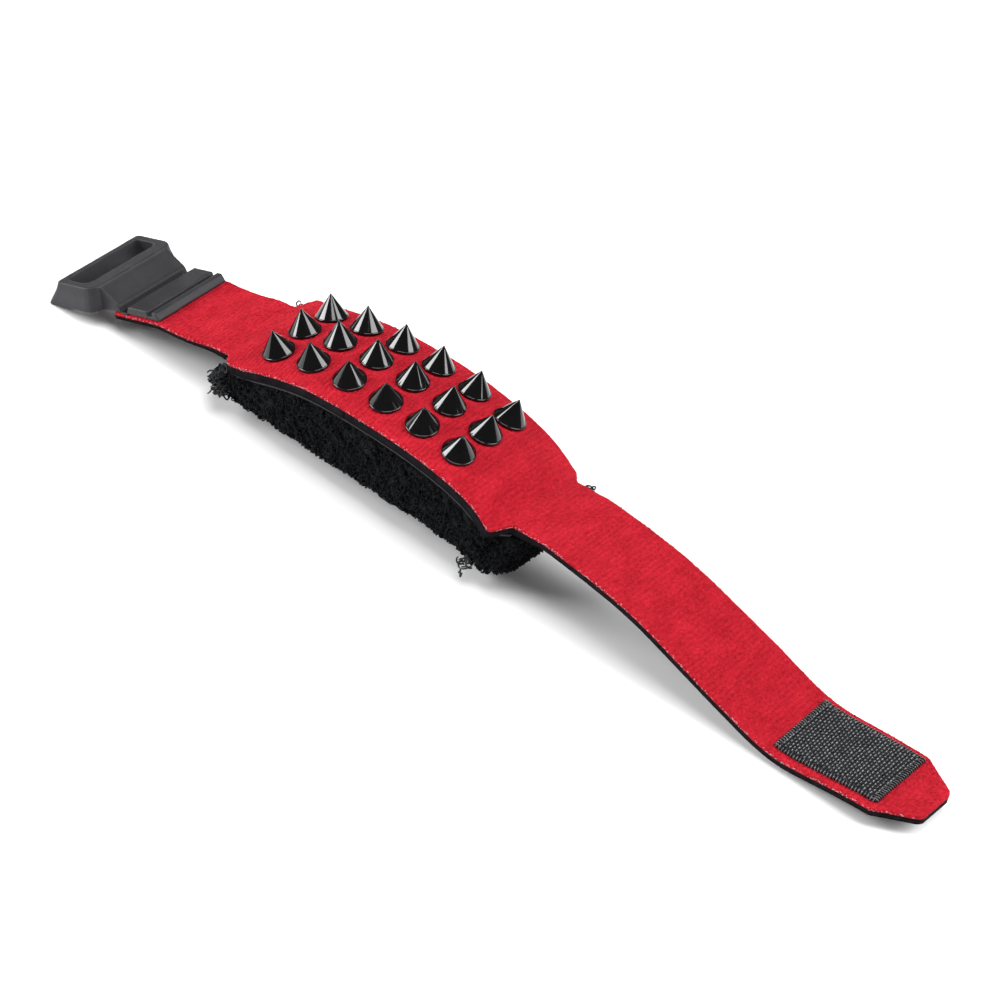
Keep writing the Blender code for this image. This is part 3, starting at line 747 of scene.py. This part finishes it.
def make_studs():
    """Turned cones on the red face, in place of the CAD's studs."""
    mat = gloss_black()
    profile = np.array(stud_profile())
    angle = np.arange(STUD_SIDES) * 2.0 * math.pi / STUD_SIDES
    rows = len(profile) - 2
    low = rows * STUD_SIDES
    high = low + 1
    last = low - STUD_SIDES
    turns = [(k, (k + 1) % STUD_SIDES) for k in range(STUD_SIDES)]
    faces = grid_faces(rows, STUD_SIDES)
    faces += [[low, far, near] for near, far in turns]
    faces += [[high, last + near, last + far] for near, far in turns]
    for name, station, y in stud_places():
        base, tangent, side, up = stud_frame(station, y)
        around = np.cos(angle)[:, None] * tangent + np.sin(angle)[:, None] * side
        rings = base + (profile[1:-1, :1, None] * around + profile[1:-1, 1:, None] * up) * MM
        points = np.concatenate([rings.reshape(-1, 3), [base + up * profile[0, 1] * MM],
                                 [base + up * profile[-1, 1] * MM]])
        stud = mesh_object(f"cone_stud_{name}", points, faces, mat)
        stud.data.set_sharp_from_angle(angle=math.radians(50.0))
        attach(stud, "centre")
        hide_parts(f"stud_{name}")


# Pile pad

def pad_section(s):
    """Loop of points round the pad at a station."""
    columns = PAD_GRID[1]
    point = strap_frame(np.array(s))[0]
    across = np.linspace(-1.0, 1.0, columns)
    half = PAD_HALF_WIDTH - PAD_INSET
    top_half = min(half, half_width(np.array(s)) - PAD_INSET)
    top = on_strap(np.full(columns, s), top_half * across, PAD_TOP + PAD_INSET) / MM
    low = lookup(PAD_FLOOR, s)
    edge = lookup(PAD_EDGES, s)
    z = low + (edge - low) * across ** 2 + PAD_INSET
    x = np.full(columns, point[0] + lookup(PAD_LEAN, s))
    bottom = np.stack([x, point[1] + (half - PAD_EDGE_EASE) * across, z], -1)
    return np.concatenate([top, bottom[::-1]])


def inflate(obj):
    """Swell the pad with Blender's cloth pressure, no point by more than PAD_SWELL."""
    remesh = obj.modifiers.new("voxels", "REMESH")
    remesh.mode = "VOXEL"
    remesh.voxel_size = PAD_VOXEL * MM
    apply_modifiers(obj)
    rest = vertex_array(obj)
    set_vertices(obj, rest * CLOTH_SCALE)
    cloth = obj.modifiers.new("cloth", "CLOTH")
    settings = cloth.settings
    settings.use_pressure = True
    settings.uniform_pressure_force = PRESSURE
    settings.effector_weights.gravity = 0.0
    settings.quality = 5
    for number in range(1, CLOTH_FRAMES + 1):
        bpy.context.scene.frame_set(number)
    apply_modifiers(obj)
    bpy.context.scene.frame_set(1)
    moved = vertex_array(obj) / CLOTH_SCALE - rest
    length = np.linalg.norm(moved, axis=1, keepdims=True)
    moved *= np.minimum(1.0, PAD_SWELL * MM / np.maximum(length, 1e-12))
    set_vertices(obj, rest + moved)


def apply_modifiers(obj):
    """Keep the shape that the modifiers give, and remove them."""
    depsgraph = bpy.context.evaluated_depsgraph_get()
    mesh = bpy.data.meshes.new_from_object(obj.evaluated_get(depsgraph))
    obj.modifiers.clear()
    obj.data = mesh


def vertex_array(obj):
    """A mesh object's points, in metres."""
    points = np.zeros(len(obj.data.vertices) * 3, np.float32)
    obj.data.vertices.foreach_get("co", points)
    return points.reshape(-1, 3).astype(float)


def set_vertices(obj, points):
    obj.data.vertices.foreach_set("co", np.asarray(points, np.float32).ravel())
    obj.data.update()


def surface_samples(obj, count, seed):
    """Random points on a mesh, evenly by area, and the normals there."""
    mesh = obj.data
    mesh.calc_loop_triangles()
    triangles = np.zeros(len(mesh.loop_triangles) * 3, np.int32)
    mesh.loop_triangles.foreach_get("vertices", triangles)
    triangles = triangles.reshape(-1, 3)
    points = vertex_array(obj)
    normals = np.zeros(len(points) * 3, np.float32)
    mesh.vertices.foreach_get("normal", normals)
    normals = normals.reshape(-1, 3).astype(float)
    corner = points[triangles]
    area = np.linalg.norm(np.cross(corner[:, 1] - corner[:, 0], corner[:, 2] - corner[:, 0]), axis=1)
    draw = np.random.default_rng(seed)
    chosen = draw.choice(len(triangles), count, p=area / area.sum())
    u, v = draw.random((2, count))
    outside = u + v > 1.0
    u = np.where(outside, 1.0 - u, u)
    v = np.where(outside, 1.0 - v, v)
    weights = np.stack([1.0 - u - v, u, v], -1)[..., None]
    return (corner[chosen] * weights).sum(1), unit((normals[triangles[chosen]] * weights).sum(1))


def strap_underside(points):
    """How far points, in metres, lie below the strap's underside, in millimetres."""
    s = np.interp(points[:, 0] / MM, COURSE[:, 0], STATIONS)
    surface, _, _, normal = strap_frame(s)
    y = points[:, 1] / MM - surface[:, 1]
    return ((surface - points / MM) * normal).sum(-1) - crown_drop(s, y) - LINING[1]


def terry_loops(points, normals, mat):
    """Standing loops of pile yarn, each an arch that leans its own way."""
    draw = np.random.default_rng(22)
    count = len(points)
    side = unit(np.cross(normals, draw.normal(size=(count, 3))))
    rise = draw.uniform(*LOOP_RISE, (count, 1)) * MM
    wide = draw.uniform(*LOOP_WIDTH, (count, 1)) * MM / 2.0
    lean = unit(np.cross(normals, side)) * draw.uniform(-0.8, 0.8, (count, 1)) + [0.0, 0.0, -0.25]
    t = np.linspace(-0.15, math.pi + 0.15, 8)
    out = normals + lean * 0.6
    arch = side[:, None] * wide[:, None] * np.cos(t)[:, None]
    arch = arch + out[:, None] * rise[:, None] * np.sin(t)[:, None]
    paths = points[:, None] + arch
    paths[..., 2] = np.maximum(paths[..., 2], LOOP_FLOOR * MM)
    return tubes("terry_loops", paths, unit(np.cross(side, out)), LOOP_RADIUS * MM, 4, mat)


def stray_curls(mat):
    """Pulled yarn ends that curl out of the pad's corners."""
    draw = np.random.default_rng(77)
    t = np.linspace(0.0, 1.0, 22)
    paths = []
    planes = []
    for station, y, drop, count in CURL_SPOTS:
        centre = on_strap(np.array(station), y, LINING[1] + drop)
        out = unit(np.array([math.copysign(1.0, station), 0.6 * math.copysign(1.0, y), -0.2]))
        for _ in range(count):
            turns = draw.uniform(0.8, 1.9) * 2.0 * math.pi
            size = draw.uniform(0.45, 0.95)
            plane = unit(draw.normal(size=3))
            first = unit(np.cross(plane, draw.normal(size=3)))
            second = np.cross(plane, first)
            phase = draw.uniform(0.0, 2.0 * math.pi)
            angle = (turns * t + phase)[:, None]
            curl = first * np.cos(angle) + second * np.sin(angle)
            walk = out * (t * draw.uniform(0.8, 3.2) - 0.6)[:, None]
            walk = walk + plane * (t * draw.uniform(-0.6, 0.6))[:, None]
            start = centre + draw.normal(size=3) * CURL_SCATTER * MM
            path = start + (curl * size + walk) * MM
            path[:, 2] = np.maximum(path[:, 2], CURL_FLOOR * MM)
            paths.append(path)
            planes.append(plane)
    return tubes("stray_curls", np.array(paths), np.array(planes), CURL_RADIUS * MM, 5, mat)


def make_pad():
    """The swollen pad, with loops of yarn all over what shows of it."""
    mat = terry()
    loops = np.array([pad_section(s) for s in np.linspace(*PAD, PAD_GRID[0])]) * MM
    pad = loft("pile_pad", loops, mat, None)
    inflate(pad)
    subdivide = pad.modifiers.new("subdivide", "SUBSURF")
    subdivide.levels = subdivide.render_levels = 1
    apply_modifiers(pad)
    points = vertex_array(pad)
    normals = np.array([v.normal for v in pad.data.vertices])
    lumps = soft_noise(points / MM, 3.2, 11) + 0.7 * soft_noise(points / MM, 1.5, 12)
    points += normals * (lumps * PAD_LUMPS * MM)[:, None]
    points[:, 2] -= np.maximum(PAD_CLEARANCE - strap_underside(points), 0.0) * MM
    points[:, 2] = np.maximum(points[:, 2], PAD_CLEARANCE * MM)
    set_vertices(pad, points)
    pad.data.shade_smooth()
    spots, directions = surface_samples(pad, LOOP_SPOTS, 21)
    open_to_view = (strap_underside(spots) > 0.8) & (directions[:, 2] < 0.75)
    pile = terry_loops(spots[open_to_view], directions[open_to_view], mat)
    curls = stray_curls(plain_fibre("black_yarn", (0.012, 0.013, 0.016)))
    for piece in (pad, pile, curls):
        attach(piece, "centre")
    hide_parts("pad_pile_cover")


# Buckle

def shape_buckle(obj):
    """Deepen the moulding's first groove, draw its second rib out and flare the ring's skirt."""
    _, tangent, across, normal = strap_frame(np.array(BUCKLE_STATION))
    surface = strap_frame(np.array(FOOT_END))[0]
    origin = surface - normal * FOOT[1] - tangent * FOOT[0] + across * BUCKLE_STRAY
    points = vertex_array(obj) / MM
    a, y, h = ((points - origin) @ axis for axis in (tangent, across, normal))
    inside = smoothstep(*GROOVE[0], a) * (1.0 - smoothstep(*GROOVE[1], a)) * smoothstep(*GROOVE_FLOOR, h)
    skirt = smoothstep(*SKIRT_HEIGHT, -h) * (1.0 - smoothstep(*SKIRT_END, a))
    outer = skirt * (1.0 - smoothstep(*SKIRT_BACK, a))
    points -= normal * (GROOVE_DEEPENED * inside)[:, None]
    points += tangent * (RIB_DRAWN_OUT * smoothstep(*RIB, a) - SKIRT_FLARE[0] * outer)[:, None]
    points += across * (SKIRT_FLARE[1] * skirt * np.clip(y / SKIRT_HALF_WIDTH, -1.0, 1.0))[:, None]
    set_vertices(obj, points * MM)
    attribute = obj.data.attributes.new("place", "FLOAT_VECTOR", "POINT")
    attribute.data.foreach_set("vector", np.stack([a, y, h], -1).astype(np.float32).ravel())


def make_buckle():
    """A copy of the CAD's moulding, with its edges softened, in its place."""
    buckle = frame["nodes"]["buckle"].copy()
    buckle.data = buckle.data.copy()
    buckle.name = "slot_buckle"
    buckle.parent = None
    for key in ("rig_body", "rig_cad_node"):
        del buckle[key]
    bpy.context.scene.collection.objects.link(buckle)
    bm = bmesh.new()
    bm.from_mesh(buckle.data)
    bmesh.ops.remove_doubles(bm, verts=bm.verts[:], dist=BUCKLE_WELD * MM)
    bm.to_mesh(buckle.data)
    bm.free()
    remesh = buckle.modifiers.new("voxels", "REMESH")
    remesh.mode = "VOXEL"
    remesh.voxel_size = BUCKLE_VOXEL * MM
    smooth = buckle.modifiers.new("soften", "SMOOTH")
    smooth.factor = 0.5
    smooth.iterations = 6
    apply_modifiers(buckle)
    shape_buckle(buckle)
    buckle.data.materials.clear()
    buckle.data.materials.append(moulded_charcoal())
    buckle.data.shade_smooth()
    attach(buckle, "buckle_end")
    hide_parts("buckle")


# Hook patch

def make_patch():
    """Woven ground of the hook tape, with its hooks and the stitches round it."""
    sections, top_count, under_count = PATCH_GRID
    across = np.concatenate([np.linspace(-1.0, 1.0, top_count), np.linspace(1.0, -1.0, under_count)])
    top = np.concatenate([np.ones(top_count), np.zeros(under_count)])
    stations, y = np.meshgrid(np.linspace(*PATCH, sections), PATCH_HALF_WIDTH * across, indexing="ij")
    turn = 2 * math.pi / HOOK_PITCH
    weave = WEAVE_DEPTH * np.maximum(np.cos((stations + y) * turn), np.cos((stations - y) * turn))
    depth = -PATCH_LIFT - top * (PATCH_THICK - WEAVE_DEPTH + weave)
    places = np.stack([stations, y, depth], -1).reshape(-1, 3)
    patch = loft("hook_tape", on_strap(stations, y, depth), hook_base(), places)
    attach(patch, "tail_tip")
    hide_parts("hook_patch")
    hooks = make_hooks()
    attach(hooks, "tail_tip")
    stitches = make_patch_stitches()
    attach(stitches, "tail_tip")
    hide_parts("patch_stitches")


def make_hooks():
    """Staggered rows of nylon hooks, all bent towards -Y."""
    draw = np.random.default_rng(5)
    start, end, side = HOOK_MARGINS
    spots = []
    for row in range(int((PATCH[1] - PATCH[0] - start - end) / HOOK_ROW_PITCH) + 1):
        s = PATCH[0] + start + row * HOOK_ROW_PITCH
        for k in range(-9, 10):
            y = k * HOOK_PITCH + (row % 2) * HOOK_PITCH / 2
            if abs(y) < PATCH_HALF_WIDTH - side:
                spots.append((s, y))
    spots = np.array(spots)
    count = len(spots)
    t = np.linspace(0.0, 1.0, 9)
    angle = math.pi * 1.15 * np.clip((t - HOOK_STEM) / (1.0 - HOOK_STEM), 0.0, 1.0)
    stem = HOOK_HEIGHT - HOOK_BEND
    up = np.where(t < HOOK_STEM, t / HOOK_STEM * stem, stem + HOOK_BEND * np.sin(angle))
    over = HOOK_BEND * (1.0 - np.cos(angle))
    lean = draw.normal(0.0, 0.05, (count, 1))
    ss = spots[:, :1] + lean * up + draw.normal(0.0, 0.03, (count, 1))
    yy = spots[:, 1:] - over + draw.normal(0.0, 0.03, (count, 1))
    paths = on_strap(ss, yy, -PATCH_THICK - up)
    planes = strap_frame(spots[:, 0])[1]
    # Painted glints: the pale grey light stop stands in for glints on the black nylon, on top of its
    # random tone.
    mat = nylon("black_nylon_hook_painted_glints", (0.04, 0.042, 0.046), (0.22, 0.225, 0.24), 0.2)
    return tubes("nylon_hooks", paths, planes, HOOK_RADIUS * MM, 5, mat)


def make_patch_stitches():
    """Overcast stitches, one by one round the patch's edge; each edge spot has its way out."""
    draw = np.random.default_rng(9)
    length = PATCH[1] - PATCH[0]
    width = 2.0 * PATCH_HALF_WIDTH
    edges = []
    for side in (-1.0, 1.0):
        for k in range(round(length / STITCH_PITCH)):
            edges.append((PATCH[0] + (k + 0.5) * STITCH_PITCH, side * PATCH_HALF_WIDTH, 0.0, side))
        for k in range(round(width / STITCH_PITCH)):
            end = PATCH[1] if side > 0 else PATCH[0]
            edges.append((end, -PATCH_HALF_WIDTH + (k + 0.5) * STITCH_PITCH, side, 0.0))
    edges = np.array(edges)
    t, h = np.array(STITCH_PATH).T
    count = len(edges)
    slant = draw.normal(0.22, 0.1, (count, 1))
    s, y, out_s, out_y = (edges[:, k:k + 1] for k in range(4))
    ss = s + out_s * t + slant * t * (out_s == 0)
    yy = y + out_y * t + slant * t * (out_y == 0)
    paths = on_strap(ss, yy, -h - draw.uniform(0.0, 0.06, (count, 1)))
    across = np.where(out_s == 0, [[1.0, 0.0, 0.0]], [[0.0, 1.0, 0.0]])
    mat = nylon("black_edge_thread", (0.008, 0.008, 0.009), (0.09, 0.09, 0.098), 0.25)
    return tubes("patch_edge_stitches", paths, across, STITCH_RADIUS * MM, 5, mat)


# Hidden hardware that stays as the CAD made it

def finish_cad_nodes():
    """Materials for the CAD nodes that stay."""
    steel = brushed_steel()
    thread = plain_fibre("black_thread", (0.03, 0.03, 0.033))
    wadding = plain_fibre("white_wadding", (0.75, 0.75, 0.72))
    cloth = plain_fibre("black_backing_cloth", (0.02, 0.02, 0.022))
    for name, obj in frame["nodes"].items():
        if name.startswith("screw"):
            obj.material_slots[0].material = steel
        elif name == "pad_core":
            obj.material_slots[0].material = wadding
        elif name == "pad_backing":
            obj.material_slots[0].material = cloth
        elif name == "buckle_seam_thread":
            obj.material_slots[0].material = thread


# Stage

def direction(azimuth, elevation):
    """Unit vector towards an azimuth, in degrees from the -Y side towards +X, and an elevation."""
    azimuth = math.radians(azimuth)
    elevation = math.radians(elevation)
    level = math.cos(elevation)
    return Vector((math.sin(azimuth) * level, -math.cos(azimuth) * level, math.sin(elevation)))


def add_camera():
    back = direction(CAMERA_AZIMUTH, CAMERA_ELEVATION)
    data = bpy.data.cameras.new("camera")
    data.lens = LENS
    data.sensor_width = 36.0
    camera = bpy.data.objects.new("camera", data)
    camera.location = Vector(CAMERA_TARGET) + back * CAMERA_DISTANCE
    camera.rotation_mode = "QUATERNION"
    roll = Quaternion((0, 0, 1), math.radians(CAMERA_ROLL))
    camera.rotation_quaternion = back.to_track_quat("Z", "Y") @ roll
    bpy.context.scene.collection.objects.link(camera)
    bpy.context.scene.camera = camera


def add_softbox(name, azimuth, elevation, distance, size, radiance):
    """Rectangular light that faces the strap; its size is for each metre of its distance."""
    data = bpy.data.lights.new(name, "AREA")
    data.shape = "RECTANGLE"
    data.size = size[0] * distance
    data.size_y = size[1] * distance
    data.energy = radiance * math.pi * data.size * data.size_y
    towards = direction(azimuth, elevation) * distance
    light = bpy.data.objects.new(name, data)
    light.location = towards
    light.rotation_mode = "QUATERNION"
    light.rotation_quaternion = towards.to_track_quat("Z", "Y")
    bpy.context.scene.collection.objects.link(light)


def add_stage():
    """Pale floor, white surroundings and three soft lights."""
    mat, tree, shader = material("pale_floor", 0.9, specular_ior_level=0.1)
    tint = ramp(tree, noise(tree, object_mm(tree), 0.01), ((0.3, (0.90,) * 3), (0.7, (0.92,) * 3)))
    tree.links.new(tint, shader.inputs["Base Color"])
    corners = [(x * FLOOR_REACH, y * FLOOR_REACH, 0) for x, y in ((-1, -1), (1, -1), (1, 1), (-1, 1))]
    floor = mesh_object("floor", corners, [(0, 1, 2, 3)], mat)
    world = bpy.data.worlds.new("studio")
    world.use_nodes = True
    background = world.node_tree.nodes["Background"]
    background.inputs["Color"].default_value = (1.0, 1.0, 1.0, 1.0)
    background.inputs["Strength"].default_value = WORLD_STRENGTH
    bpy.context.scene.world = world
    bpy.context.scene.view_settings.view_transform = "Standard"
    for name, settings in SOFTBOXES.items():
        add_softbox(name, *settings)


add_camera()
add_stage()
finish_cad_nodes()
make_strap()
make_studs()
make_pad()
make_buckle()
make_patch()
